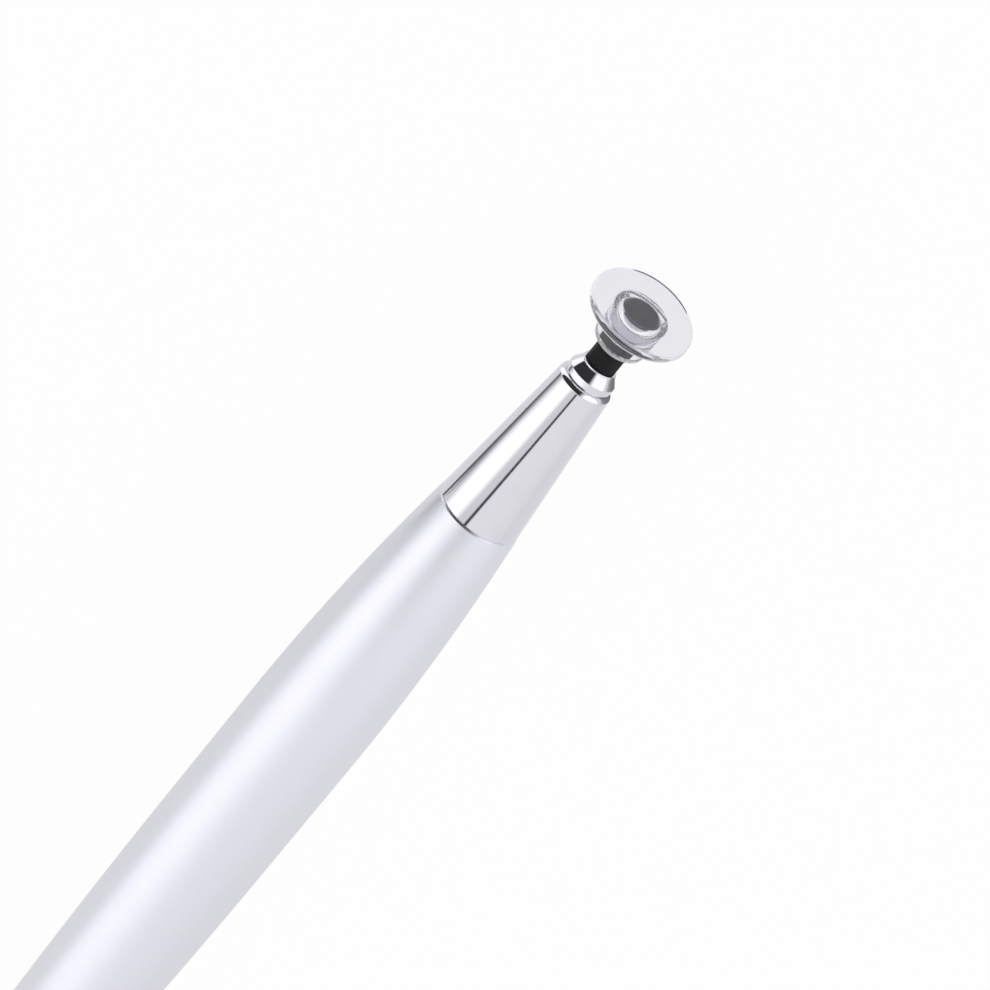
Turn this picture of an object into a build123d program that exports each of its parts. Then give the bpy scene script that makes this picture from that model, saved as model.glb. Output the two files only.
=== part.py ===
from build123d import *
from math import asin, atan2, cos, hypot, radians, sin, sqrt, tan
import os

# Stylus pen: a clear disc on a ball joint at the front of a chromed nose, a satin barrel,
# and a ballpoint under a pull-off cap at the other end. Sizes are in millimetres.
# The pen lies along X with the disc towards +X, and +Z is up. The origin is on the pen's
# axis, halfway along the straight grip of the barrel.

# Fits: radial clearance of pieces that are pressed, screwed or bonded, and of ones that run
fixed_fit = 0.02
running_fit = 0.04

# Contact disc
disc_diameter = 7.4
disc_thickness = 0.65
disc_skin = 0.25  # clear plastic in front of the pocket that the pad swings in
disc_edge_round = 0.16
disc_lean = 13.0  # degrees that the disc leans up from square to the pen at rest
disc_swing = 15.0  # degrees that the disc can lean to either side

# Dark pad on the flat front of the ball
pad_diameter = 2.77
pad_thickness = 0.3
pad_reach = 0.77  # from the centre of the ball to the pad's face

# Socket hub behind the disc, with a skirt round the neck
hub_length = 2.44
hub_wall = 0.33  # round the ball
skirt_wall = 0.22  # at the rear rim
hub_rim_round = 0.12

# Ball pin, its retainer and its rubber sleeve
pin_diameter = 0.7
journal_diameter = 1.1
ball_reach = 5.03  # from the front of the nose to the centre of the ball
retainer_diameter = 1.9
retainer_thickness = 0.6
retainer_play = 0.05
pin_tail = 0.3  # pin left standing behind the retainer
sleeve_diameter = 2.2

# Tip collar
collar_groove_diameter = 3.24
collar_groove_width = 0.1
collar_rim_diameter = 3.4
collar_rim_width = 0.5
collar_top_diameter = 2.54
collar_flare_length = 0.7
collar_bead_length = 0.14  # the bead round the foot of the sleeve
collar_bead_round = 0.13
collar_shank_diameter = 2.0
collar_shank_length = 3.42
collar_seat_depth = 0.49  # counterbore that takes the foot of the sleeve

# Nose cone
nose_length = 12.37
nose_rear_diameter = 6.1
nose_shoulder_diameter = 3.94
nose_lip_length = 0.37
nose_lip_diameter = 3.46
nose_edge_chamfer = 0.1
nose_front_bore_length = 3.72
nose_cavity_diameter = 2.9
nose_spigot_diameter = 4.2
nose_spigot_length = 7.0

# Barrel
barrel_diameter = 8.47
barrel_front_diameter = 6.14
barrel_rear_diameter = 7.5
barrel_taper_length = 21.5  # from the seam to the straight grip
grip_length = 10.0
barrel_length = 58.0
barrel_edge_chamfer = 0.1
barrel_bore = 6.2
barrel_front_bore = 4.96
barrel_front_bore_length = 8.0

# Bushes pressed into the barrel, and the ring between barrel and cap
front_bush_length = 7.2
front_bush_inset = 0.5
rear_bush_length = 12.0
rear_bush_bore = 4.8
ring_width = 2.4
ring_edge_round = 0.35

# Writing section and the ring that grips the cap
section_spigot_length = 10.0
section_flange_diameter = 5.1
section_flange_length = 9.0
section_length = 30.0
section_mouth_diameter = 3.1
section_mouth_round = 0.3
grip_ring_section = 0.6
grip_ring_place = 5.0  # from the section's shoulder to the middle of the ring
grip_ring_groove_depth = 0.42

# Ink refill
refill_diameter = 2.34
refill_wall = 0.16
refill_length = 58.0
refill_inset = 1.0  # the tube ends this far inside the section's mouth
point_length = 4.6
point_shoulder_length = 1.6
point_nib_diameter = 0.9
point_nib_length = 0.7
point_stem_length = 2.0
writing_ball_diameter = 0.7
writing_ball_show = 0.22  # how far the ball stands out of its seat
writing_ball_fit = 0.02

# Cap, its liner, finial and screw
cap_gap = 0.1  # between the cap's mouth and the ring
cap_length = 56.0
cap_mouth_diameter = 7.5
cap_end_diameter = 6.7
cap_mouth_chamfer = 0.15
cap_bore = 5.86
cap_end_wall = 3.0
liner_bore = 5.6
liner_wall = 0.3
liner_inset = 0.6
liner_length = 24.0
finial_diameter = 6.5
finial_rim = 0.7
finial_height = 2.6
screw_diameter = 1.6
screw_head_diameter = 3.2
screw_head_height = 1.0
screw_grip = 1.8  # thread engaged in the finial
screw_slot_width = 0.4
screw_slot_depth = 0.45

# Spring clip
clip_thickness = 0.6
clip_root_width = 3.2
clip_end_width = 2.2
clip_reach = 38.0  # from the root to the toe
clip_height = 5.0  # inner face of the arm above the pen's axis, at the root
clip_drop = 0.5  # how much closer the arm is to the axis at the toe
clip_toe_length = 3.0
clip_toe_lift = 0.9
clip_gap = 0.15  # between the toe and the cap
clip_bend = 0.7
clip_root_depth = 2.1  # inner end of the root tab above the pen's axis
clip_root_inset = 0.9  # from the cap's end to the root tab
clip_clearance = 0.2  # slack of the root tab in its slot

# Stations along X, from the origin
grip_front_x = grip_length / 2
seam_x = grip_front_x + barrel_taper_length
nose_front_x = seam_x + nose_length
collar_rim_x = nose_front_x + collar_groove_width
collar_flare_x = collar_rim_x + collar_rim_width
collar_top_x = collar_flare_x + collar_flare_length
collar_bead_x = collar_top_x + collar_bead_length
collar_seat_x = collar_bead_x - collar_seat_depth
collar_foot_x = nose_front_x - collar_shank_length
ball_x = nose_front_x + ball_reach
barrel_end_x = seam_x - barrel_length
section_shoulder_x = barrel_end_x - ring_width
section_mouth_x = section_shoulder_x - section_length
refill_front_x = section_mouth_x + refill_inset
cap_mouth_x = section_shoulder_x - cap_gap
cap_end_x = cap_mouth_x - cap_length
cap_floor_x = cap_end_x + cap_end_wall

# Frame of the disc: its axis leans up from the pen's axis, about the centre of the ball
disc_axis = Vector(cos(radians(disc_lean)), 0, sin(radians(disc_lean)))
disc_plane = Plane(origin=(ball_x, 0, 0), x_dir=disc_axis, z_dir=(0, 1, 0))
disc_line = Axis((ball_x, 0, 0), disc_axis)

# The pad's rim lies on the ball. The pocket in the disc clears the rim at the end of the
# swing, and the skirt of the hub clears the neck.
swing = radians(disc_swing)
ball_radius = hypot(pad_diameter / 2, pad_reach)
socket_radius = ball_radius + running_fit
pad_rim_angle = atan2(pad_diameter / 2, pad_reach)
neck_clearance_radius = (sleeve_diameter / 2 + running_fit) / cos(swing)

# Stations along the disc's axis, from the centre of the ball
pocket_front = ball_radius * cos(pad_rim_angle - swing) + running_fit
disc_front = pocket_front + disc_skin
disc_rear = disc_front - disc_thickness
hub_rear = disc_rear - hub_length


def socket_point(station):
    """Point of the socket's sphere at a station, in the plane of the profile."""
    return (station, sqrt(socket_radius**2 - station**2))


os.makedirs("parts", exist_ok=True)


# Clear disc that touches the screen: flat in front, with a pocket behind for the pad.
with BuildPart() as contact_disc:
    with BuildSketch(disc_plane):
        with BuildLine():
            Polyline(
                socket_point(pocket_front),
                (pocket_front, 0),
                (disc_front, 0),
                (disc_front, disc_diameter / 2),
                (disc_rear, disc_diameter / 2),
                socket_point(disc_rear),
            )
            ThreePointArc(
                socket_point(disc_rear),
                socket_point((disc_rear + pocket_front) / 2),
                socket_point(pocket_front),
            )
        make_face()
    revolve(axis=disc_line)
    disc_edges = contact_disc.edges().filter_by(GeomType.CIRCLE).group_by(SortBy.RADIUS)[-1]
    fillet(disc_edges, radius=disc_edge_round)
contact_disc.part.label = "contact_disc"
export_step(contact_disc.part, "parts/contact_disc.step")

# Dark conductive pad, bonded on the flat front of the ball and rounded like it at its rim.
pad_face_x = ball_x + pad_reach
ball_flat_x = pad_face_x - pad_thickness
pad_middle_x = (ball_flat_x + pad_face_x) / 2
ball_flat_radius = sqrt(ball_radius**2 - (ball_flat_x - ball_x) ** 2)
with BuildPart() as contact_pad:
    with BuildSketch(Plane.XY):
        with BuildLine():
            Polyline(
                (pad_face_x, pad_diameter / 2),
                (pad_face_x, 0),
                (ball_flat_x, 0),
                (ball_flat_x, ball_flat_radius),
            )
            ThreePointArc(
                (ball_flat_x, ball_flat_radius),
                (pad_middle_x, sqrt(ball_radius**2 - (pad_middle_x - ball_x) ** 2)),
                (pad_face_x, pad_diameter / 2),
            )
        make_face()
    revolve(axis=Axis.X)
contact_pad.part.label = "contact_pad"
export_step(contact_pad.part, "parts/contact_pad.step")

# Clear hub bonded behind the disc. Its socket opens to the front, so the ball drops in
# before the disc goes on. Behind the ball it narrows to a lip, and from there a skirt opens
# round the neck, as wide as the swing needs.
skirt_slope = tan(swing)
lip_share = neck_clearance_radius * cos(swing)
lip_back = sqrt(socket_radius**2 - lip_share**2) * cos(swing) - lip_share * sin(swing)
lip_point = socket_point(-lip_back)
skirt_mouth_radius = neck_clearance_radius - hub_rear * skirt_slope
with BuildPart() as socket_hub:
    with BuildSketch(disc_plane):
        with BuildLine():
            Polyline(
                socket_point(disc_rear),
                (disc_rear, socket_radius + hub_wall),
                (hub_rear, skirt_mouth_radius + skirt_wall),
                (hub_rear, skirt_mouth_radius),
                lip_point,
            )
            ThreePointArc(lip_point, (0, socket_radius), socket_point(disc_rear))
        make_face()
    revolve(axis=disc_line)
    hub_rim = socket_hub.faces().sort_by(disc_line)[0].outer_wire().edges()
    fillet(hub_rim, radius=hub_rim_round)
socket_hub.part.label = "socket_hub"
export_step(socket_hub.part, "parts/socket_hub.step")

# Steel ball pin: the ball carries the disc and the pad, and the journal turns in the collar.
ball_root = ball_x - sqrt(ball_radius**2 - (pin_diameter / 2) ** 2)
retainer_front_x = collar_foot_x - retainer_play
retainer_rear_x = retainer_front_x - retainer_thickness
pin_end_x = retainer_rear_x - pin_tail
with BuildPart() as ball_pin:
    with BuildSketch(Plane.XY):
        with BuildLine():
            Polyline(
                (ball_flat_x, ball_flat_radius),
                (ball_flat_x, 0),
                (pin_end_x, 0),
                (pin_end_x, journal_diameter / 2),
                (collar_seat_x, journal_diameter / 2),
                (collar_seat_x, pin_diameter / 2),
                (ball_root, pin_diameter / 2),
            )
            ThreePointArc((ball_root, pin_diameter / 2), (ball_x, ball_radius), (ball_flat_x, ball_flat_radius))
        make_face()
    revolve(axis=Axis.X)
ball_pin.part.label = "ball_pin"
export_step(ball_pin.part, "parts/ball_pin.step")

# Ring pressed on the pin's tail, which keeps the pin in the collar.
with BuildPart() as pin_retainer:
    with BuildSketch(Plane.YZ.offset(retainer_rear_x)):
        Circle(retainer_diameter / 2)
        Circle(journal_diameter / 2 + fixed_fit, mode=Mode.SUBTRACT)
    extrude(amount=retainer_thickness)
pin_retainer.part.label = "pin_retainer"
export_step(pin_retainer.part, "parts/pin_retainer.step")

# Black conductive rubber sleeve, pushed on the pin: it stands in the collar's seat and ends
# in a hollow that fits the back of the ball.
sleeve_bore_radius = pin_diameter / 2 + fixed_fit
sleeve_hollow_radius = ball_radius + fixed_fit
sleeve_middle_radius = (sleeve_bore_radius + sleeve_diameter / 2) / 2


def hollow_point(radius):
    """Point of the sleeve's hollow front end at a radius from the pen's axis."""
    return (ball_x - sqrt(sleeve_hollow_radius**2 - radius**2), radius)


with BuildPart() as neck_sleeve:
    with BuildSketch(Plane.XY):
        with BuildLine():
            Polyline(
                hollow_point(sleeve_bore_radius),
                (collar_seat_x, sleeve_bore_radius),
                (collar_seat_x, sleeve_diameter / 2),
                hollow_point(sleeve_diameter / 2),
            )
            ThreePointArc(
                hollow_point(sleeve_diameter / 2),
                hollow_point(sleeve_middle_radius),
                hollow_point(sleeve_bore_radius),
            )
        make_face()
    revolve(axis=Axis.X)
neck_sleeve.part.label = "neck_sleeve"
export_step(neck_sleeve.part, "parts/neck_sleeve.step")

# Chromed collar: a flared head with a bead in front and a thin groove behind, on a shank that
# screws into the nose.
with BuildPart() as tip_collar:
    with BuildSketch(Plane.XY):
        with BuildLine():
            Polyline(
                (collar_foot_x, journal_diameter / 2 + running_fit),
                (collar_seat_x, journal_diameter / 2 + running_fit),
                (collar_seat_x, sleeve_diameter / 2 + fixed_fit),
                (collar_bead_x, sleeve_diameter / 2 + fixed_fit),
                (collar_bead_x, collar_top_diameter / 2),
                (collar_top_x, collar_top_diameter / 2),
                (collar_flare_x, collar_rim_diameter / 2),
                (collar_rim_x, collar_rim_diameter / 2),
                (collar_rim_x, collar_groove_diameter / 2),
                (nose_front_x, collar_groove_diameter / 2),
                (nose_front_x, collar_shank_diameter / 2),
                (collar_foot_x, collar_shank_diameter / 2),
                close=True,
            )
        make_face()
    revolve(axis=Axis.X)
    fillet(tip_collar.faces().sort_by(Axis.X)[-1].outer_wire().edges(), radius=collar_bead_round)
tip_collar.part.label = "tip_collar"
export_step(tip_collar.part, "parts/tip_collar.step")

# Chromed nose cone: a straight taper with a rounded lip, and a spigot behind the seam.
nose_lip_x = nose_front_x - nose_lip_length
nose_step_x = nose_front_x - nose_front_bore_length
nose_end_x = seam_x - nose_spigot_length
nose_slope = (nose_rear_diameter - nose_shoulder_diameter) / 2 / (nose_lip_x - seam_x)
with BuildPart() as nose_cone:
    with BuildSketch(Plane.XY):
        with BuildLine():
            TangentArc(
                (nose_lip_x, nose_shoulder_diameter / 2),
                (nose_front_x, nose_lip_diameter / 2),
                tangent=(1, -nose_slope),
            )
            Polyline(
                (nose_front_x, nose_lip_diameter / 2),
                (nose_front_x, collar_shank_diameter / 2 + fixed_fit),
                (nose_step_x, collar_shank_diameter / 2 + fixed_fit),
                (nose_step_x, nose_cavity_diameter / 2),
                (nose_end_x, nose_cavity_diameter / 2),
                (nose_end_x, nose_spigot_diameter / 2),
                (seam_x, nose_spigot_diameter / 2),
                (seam_x, nose_rear_diameter / 2 - nose_edge_chamfer),
                (seam_x + nose_edge_chamfer, nose_rear_diameter / 2 - nose_slope * nose_edge_chamfer),
                (nose_lip_x, nose_shoulder_diameter / 2),
            )
        make_face()
    revolve(axis=Axis.X)
nose_cone.part.label = "nose_cone"
export_step(nose_cone.part, "parts/nose_cone.step")

# Threaded bush pressed into the front of the barrel, which takes the nose's spigot.
front_bush_x = seam_x - front_bush_inset - front_bush_length
with BuildPart() as front_bush:
    with BuildSketch(Plane.YZ.offset(front_bush_x)):
        Circle(barrel_front_bore / 2 - fixed_fit)
        Circle(nose_spigot_diameter / 2 + fixed_fit, mode=Mode.SUBTRACT)
    extrude(amount=front_bush_length)
front_bush.part.label = "front_bush"
export_step(front_bush.part, "parts/front_bush.step")

# Satin barrel: a tube that swells in one arc from the seam to a straight grip and eases
# in again to the ring.
front_bore_x = seam_x - barrel_front_bore_length
with BuildPart() as barrel:
    with BuildSketch(Plane.XY):
        with BuildLine():
            TangentArc(
                (grip_front_x, barrel_diameter / 2),
                (seam_x, barrel_front_diameter / 2),
                tangent=(1, 0),
            )
            Polyline(
                (seam_x, barrel_front_diameter / 2),
                (seam_x, barrel_front_bore / 2),
                (front_bore_x, barrel_front_bore / 2),
                (front_bore_x, barrel_bore / 2),
                (barrel_end_x, barrel_bore / 2),
                (barrel_end_x, barrel_rear_diameter / 2),
            )
            TangentArc(
                (-grip_front_x, barrel_diameter / 2),
                (barrel_end_x, barrel_rear_diameter / 2),
                tangent=(-1, 0),
            )
            Line((-grip_front_x, barrel_diameter / 2), (grip_front_x, barrel_diameter / 2))
        make_face()
    revolve(axis=Axis.X)
    chamfer(barrel.faces().sort_by(Axis.X)[-1].outer_wire().edges(), length=barrel_edge_chamfer)
barrel.part.label = "barrel"
export_step(barrel.part, "parts/barrel.step")

# Threaded bush pressed into the rear of the barrel, which takes the writing section.
with BuildPart() as rear_bush:
    with BuildSketch(Plane.YZ.offset(barrel_end_x)):
        Circle(barrel_bore / 2 - fixed_fit)
        Circle(rear_bush_bore / 2, mode=Mode.SUBTRACT)
    extrude(amount=rear_bush_length)
rear_bush.part.label = "rear_bush"
export_step(rear_bush.part, "parts/rear_bush.step")

# Chromed ring clamped between the barrel and the writing section. It stands as far out as
# the widest part of the barrel, so the pen lies level.
with BuildPart() as centre_ring:
    with BuildSketch(Plane.YZ.offset(section_shoulder_x)):
        Circle(barrel_diameter / 2)
        Circle(rear_bush_bore / 2, mode=Mode.SUBTRACT)
    extrude(amount=ring_width)
    ring_edges = centre_ring.edges().filter_by(GeomType.CIRCLE).group_by(SortBy.RADIUS)[-1]
    fillet(ring_edges, radius=ring_edge_round)
centre_ring.part.label = "centre_ring"
export_step(centre_ring.part, "parts/centre_ring.step")

# Writing section: a spigot in the rear bush, a straight seat for the cap and a straight taper
# to the mouth that the refill comes out of.
section_bore_radius = refill_diameter / 2 + fixed_fit
section_taper_x = section_shoulder_x - section_flange_length
groove_front_x = section_shoulder_x - grip_ring_place + grip_ring_section / 2 + running_fit
groove_rear_x = section_shoulder_x - grip_ring_place - grip_ring_section / 2 - running_fit
groove_radius = section_flange_diameter / 2 - grip_ring_groove_depth
with BuildPart() as writing_section:
    with BuildSketch(Plane.XY):
        with BuildLine():
            Polyline(
                (section_taper_x, section_flange_diameter / 2),
                (groove_rear_x, section_flange_diameter / 2),
                (groove_rear_x, groove_radius),
                (groove_front_x, groove_radius),
                (groove_front_x, section_flange_diameter / 2),
                (section_shoulder_x, section_flange_diameter / 2),
                (section_shoulder_x, rear_bush_bore / 2 - fixed_fit),
                (barrel_end_x + section_spigot_length, rear_bush_bore / 2 - fixed_fit),
                (barrel_end_x + section_spigot_length, section_bore_radius),
                (section_mouth_x, section_bore_radius),
                (section_mouth_x, section_mouth_diameter / 2),
                close=True,
            )
        make_face()
    revolve(axis=Axis.X)
    mouth_edge = writing_section.faces().sort_by(Axis.X)[0].outer_wire().edges()
    fillet(mouth_edge, radius=min(section_mouth_round, section_mouth_diameter / 4 - section_bore_radius / 2))
writing_section.part.label = "writing_section"
export_step(writing_section.part, "parts/writing_section.step")

# Rubber ring in the section's groove, which grips the cap's liner.
grip_ring_radius = groove_radius + fixed_fit + grip_ring_section / 2
with BuildPart() as grip_ring:
    with BuildSketch(Plane.XY):
        with Locations((section_shoulder_x - grip_ring_place, grip_ring_radius)):
            Circle(grip_ring_section / 2)
    revolve(axis=Axis.X)
grip_ring.part.label = "grip_ring"
export_step(grip_ring.part, "parts/grip_ring.step")

# Brass ink tube, held in the bore of the writing section.
with BuildPart() as refill_tube:
    with BuildSketch(Plane.YZ.offset(refill_front_x)):
        Circle(refill_diameter / 2)
        Circle(refill_diameter / 2 - refill_wall, mode=Mode.SUBTRACT)
    extrude(amount=refill_length)
refill_tube.part.label = "refill_tube"
export_step(refill_tube.part, "parts/refill_tube.step")

# Writing point: a stem in the tube, a short shoulder, a cone and a nib that seats the ball.
point_end_x = refill_front_x - point_length
nib_x = point_end_x + point_nib_length
ball_seat_radius = writing_ball_diameter / 2 + writing_ball_fit
writing_ball_x = point_end_x - writing_ball_show + writing_ball_diameter / 2
seat_edge = sqrt(ball_seat_radius**2 - (writing_ball_x - point_end_x) ** 2)
stem_radius = refill_diameter / 2 - refill_wall - fixed_fit
with BuildPart() as refill_point:
    with BuildSketch(Plane.XY):
        with BuildLine():
            Polyline(
                (writing_ball_x + ball_seat_radius, 0),
                (refill_front_x + point_stem_length, 0),
                (refill_front_x + point_stem_length, stem_radius),
                (refill_front_x, stem_radius),
                (refill_front_x, refill_diameter / 2),
                (refill_front_x - point_shoulder_length, refill_diameter / 2),
                (nib_x, point_nib_diameter / 2),
                (point_end_x, point_nib_diameter / 2),
                (point_end_x, seat_edge),
            )
            ThreePointArc(
                (point_end_x, seat_edge),
                (writing_ball_x, ball_seat_radius),
                (writing_ball_x + ball_seat_radius, 0),
            )
        make_face()
    revolve(axis=Axis.X)
refill_point.part.label = "refill_point"
export_step(refill_point.part, "parts/refill_point.step")

# Writing ball, free to roll in the nib.
with BuildPart() as writing_ball:
    with Locations((writing_ball_x, 0, 0)):
        Sphere(writing_ball_diameter / 2)
writing_ball.part.label = "writing_ball"
export_step(writing_ball.part, "parts/writing_ball.step")

# The clip is turned about the pen so that its root corner reaches the table that the
# barrel lies on: corner height = outer height * sin(turn) + half width * cos(turn).
clip_outer = clip_height + clip_thickness
clip_corner = hypot(clip_outer, clip_root_width / 2)
clip_turn = asin(barrel_diameter / 2 / clip_corner) - atan2(clip_root_width / 2, clip_outer)
clip_plane = Plane(origin=(0, 0, 0), x_dir=(1, 0, 0), z_dir=(0, sin(clip_turn), cos(clip_turn)))
clip_root_x = cap_end_x + clip_root_inset
slot_front_x = clip_root_x + clip_thickness + clip_clearance

# Satin cap: a tapered tube with a solid end, a wider front bore for the liner and a slot
# in its end for the root of the clip.
liner_radius = liner_bore / 2 + liner_wall
liner_front_x = cap_mouth_x - liner_inset
liner_rear_x = liner_front_x - liner_length
with BuildPart() as cap_shell:
    with BuildSketch(Plane.XY):
        with BuildLine():
            Polyline(
                (cap_mouth_x - cap_mouth_chamfer, cap_mouth_diameter / 2),
                (cap_mouth_x, cap_mouth_diameter / 2 - cap_mouth_chamfer),
                (cap_mouth_x, liner_radius + fixed_fit),
                (liner_rear_x, liner_radius + fixed_fit),
                (liner_rear_x, cap_bore / 2),
                (cap_floor_x, cap_bore / 2),
                (cap_floor_x, screw_diameter / 2 + fixed_fit),
                (cap_end_x, screw_diameter / 2 + fixed_fit),
                (cap_end_x, cap_end_diameter / 2),
                close=True,
            )
        make_face()
    revolve(axis=Axis.X)
    with BuildSketch(clip_plane):
        with BuildLine():
            Polyline(
                (cap_end_x, clip_root_depth - clip_clearance),
                (slot_front_x, clip_root_depth - clip_clearance),
                (slot_front_x, cap_mouth_diameter / 2),
                (cap_end_x, cap_mouth_diameter / 2),
                close=True,
            )
        make_face()
    extrude(amount=clip_root_width / 2 + clip_clearance, both=True, mode=Mode.SUBTRACT)
cap_shell.part.label = "cap_shell"
export_step(cap_shell.part, "parts/cap_shell.step")

# Plastic liner bonded into the cap, which slides over the grip ring.
with BuildPart() as cap_liner:
    with BuildSketch(Plane.YZ.offset(liner_rear_x)):
        Circle(liner_radius)
        Circle(liner_bore / 2, mode=Mode.SUBTRACT)
    extrude(amount=liner_length)
cap_liner.part.label = "cap_liner"
export_step(cap_liner.part, "parts/cap_liner.step")

# Spring clip: one bent strip, with a root tab in the cap's slot, a long arm that narrows,
# and a toe that dips to the cap and turns up again.
toe_x = clip_root_x + clip_reach - clip_toe_length
toe_share = (cap_mouth_x - toe_x) / cap_length
toe_cap_radius = cap_mouth_diameter / 2 - (cap_mouth_diameter - cap_end_diameter) / 2 * toe_share
toe_height = toe_cap_radius + clip_gap
arm_end_height = clip_height - clip_drop
arm_end_x = toe_x - clip_toe_length
with BuildPart() as clip:
    with BuildSketch(clip_plane):
        with BuildLine():
            strip = FilletPolyline(
                (clip_root_x + clip_thickness, clip_root_depth),
                (clip_root_x + clip_thickness, clip_height),
                (arm_end_x, arm_end_height),
                (toe_x, toe_height),
                (toe_x + clip_toe_length, toe_height + clip_toe_lift),
                radius=clip_bend,
            )
            offset(strip, amount=clip_thickness, side=Side.LEFT)
        make_face()
    extrude(amount=clip_root_width / 2, both=True)
    with BuildSketch(Plane(origin=(0, 0, 0), x_dir=(1, 0, 0), z_dir=clip_plane.y_dir)):
        with BuildLine():
            Polyline(
                (clip_root_x - clip_thickness, -clip_root_width / 2),
                (clip_root_x + clip_bend, -clip_root_width / 2),
                (toe_x + clip_toe_length + clip_thickness, -clip_end_width / 2),
                (toe_x + clip_toe_length + clip_thickness, clip_end_width / 2),
                (clip_root_x + clip_bend, clip_root_width / 2),
                (clip_root_x - clip_thickness, clip_root_width / 2),
                close=True,
            )
        make_face()
    extrude(amount=clip_outer + clip_thickness, mode=Mode.INTERSECT)
clip.part.label = "clip"
export_step(clip.part, "parts/clip.step")

# Chromed finial: a short rim and a dome, drilled for the screw.
dome_x = cap_end_x - finial_rim
finial_end_x = cap_end_x - finial_height
with BuildPart() as finial:
    with BuildSketch(Plane.XY):
        with BuildLine():
            Polyline(
                (finial_end_x, 0),
                (cap_end_x - screw_grip, 0),
                (cap_end_x - screw_grip, screw_diameter / 2 + fixed_fit),
                (cap_end_x, screw_diameter / 2 + fixed_fit),
                (cap_end_x, finial_diameter / 2),
                (dome_x, finial_diameter / 2),
            )
            RadiusArc(
                (finial_end_x, 0),
                (dome_x, finial_diameter / 2),
                radius=((finial_diameter / 2) ** 2 + (finial_height - finial_rim) ** 2)
                / (2 * (finial_height - finial_rim)),
            )
        make_face()
    revolve(axis=Axis.X)
finial.part.label = "finial"
export_step(finial.part, "parts/finial.step")

# Slotted screw inside the cap, which draws the finial on.
screw_head_x = cap_floor_x + screw_head_height
with BuildPart() as finial_screw:
    with BuildSketch(Plane.YZ.offset(cap_floor_x)):
        Circle(screw_head_diameter / 2)
    extrude(amount=screw_head_height)
    with BuildSketch(Plane.YZ.offset(cap_floor_x)):
        Circle(screw_diameter / 2)
    extrude(amount=-(cap_end_wall + screw_grip - running_fit))
    with BuildSketch(Plane.YZ.offset(screw_head_x)):
        Rectangle(screw_head_diameter, screw_slot_width)
    extrude(amount=-screw_slot_depth, mode=Mode.SUBTRACT)
finial_screw.part.label = "finial_screw"
export_step(finial_screw.part, "parts/finial_screw.step")
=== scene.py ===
from math import acos, atan2, cos, hypot, pi, radians, sin, sqrt, tan

import bmesh
import bpy
from mathutils import Matrix, Vector


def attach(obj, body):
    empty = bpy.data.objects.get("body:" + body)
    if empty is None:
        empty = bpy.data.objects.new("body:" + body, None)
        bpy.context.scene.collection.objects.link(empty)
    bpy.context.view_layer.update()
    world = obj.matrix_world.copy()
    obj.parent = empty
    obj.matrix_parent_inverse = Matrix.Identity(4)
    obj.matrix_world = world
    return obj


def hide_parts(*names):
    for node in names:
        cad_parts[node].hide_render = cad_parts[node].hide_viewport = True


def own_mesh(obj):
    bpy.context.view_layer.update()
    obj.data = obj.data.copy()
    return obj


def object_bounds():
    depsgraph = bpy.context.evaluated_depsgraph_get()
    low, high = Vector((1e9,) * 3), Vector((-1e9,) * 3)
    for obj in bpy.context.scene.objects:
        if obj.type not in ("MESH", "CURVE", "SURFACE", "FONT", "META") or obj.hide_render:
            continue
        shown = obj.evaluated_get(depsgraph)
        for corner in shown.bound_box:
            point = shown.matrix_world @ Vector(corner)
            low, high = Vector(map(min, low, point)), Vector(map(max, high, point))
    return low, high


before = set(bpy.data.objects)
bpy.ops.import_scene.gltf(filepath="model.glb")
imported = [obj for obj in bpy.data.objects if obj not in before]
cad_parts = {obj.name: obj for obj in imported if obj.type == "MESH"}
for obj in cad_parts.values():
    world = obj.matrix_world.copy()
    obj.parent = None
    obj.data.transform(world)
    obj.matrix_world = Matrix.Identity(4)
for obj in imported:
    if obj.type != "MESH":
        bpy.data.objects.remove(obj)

cad_low, cad_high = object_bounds()

# Barrel: the satin silver tube that is held, swelling in one arc from the seam to a straight
# grip and easing in again to the ring. It is aluminium, turned, bead blasted and anodised, and
# a bush is pressed into each of its ends.
mm = 0.001
# Sizes are in millimetres: x runs along the pen from the middle of the grip, and a radius is the
# distance from the pen's axis.
seam_x = 26.5
barrel_end_x = -31.5
grip_half = 5.0
grip_radius = 4.235
barrel_front_radius = 3.07
barrel_rear_radius = 3.75
barrel_bore = 3.1
barrel_front_bore = 2.48
barrel_front_bore_x = 18.5
barrel_edge = 0.1
barrel_edge_rise = 0.011
front_swell_steps = 40
rear_swell_steps = 30


def linear(code):
    """The linear colour of an sRGB hex code."""
    shares = [int(code[place:place + 2], 16) / 255 for place in (1, 3, 5)]
    return tuple(s / 12.92 if s <= 0.04045 else ((s + 0.055) / 1.055) ** 2.4 for s in shares) + (1.0,)


def add_node(tree, kind, settings=None, links=None):
    """Adds a node, sets its properties and inputs, and links outputs of other nodes to its inputs."""
    node = tree.nodes.new(kind)
    for name, value in (settings or {}).items():
        if isinstance(name, int) or name in node.inputs:
            node.inputs[name].default_value = value
        else:
            setattr(node, name, value)
    for name, source in (links or {}).items():
        tree.links.new(source, node.inputs[name])
    return node


def new_finish(name):
    """A material with an empty node tree, and that tree."""
    finish = bpy.data.materials.new(name)
    finish.use_nodes = True
    finish.node_tree.nodes.clear()
    return finish, finish.node_tree


def close_finish(tree, shader):
    """Ends a material's node tree in a shader."""
    add_node(tree, "ShaderNodeOutputMaterial", links={"Surface": shader.outputs[0]})


def noise(tree, place, size, detail):
    """Cloudy noise from 0 to 1, with clouds of a size in millimetres."""
    clouds = add_node(
        tree, "ShaderNodeTexNoise", {"Scale": 1 / (size * mm), "Detail": detail}, {"Vector": place}
    )
    return clouds.outputs["Fac"]


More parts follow.
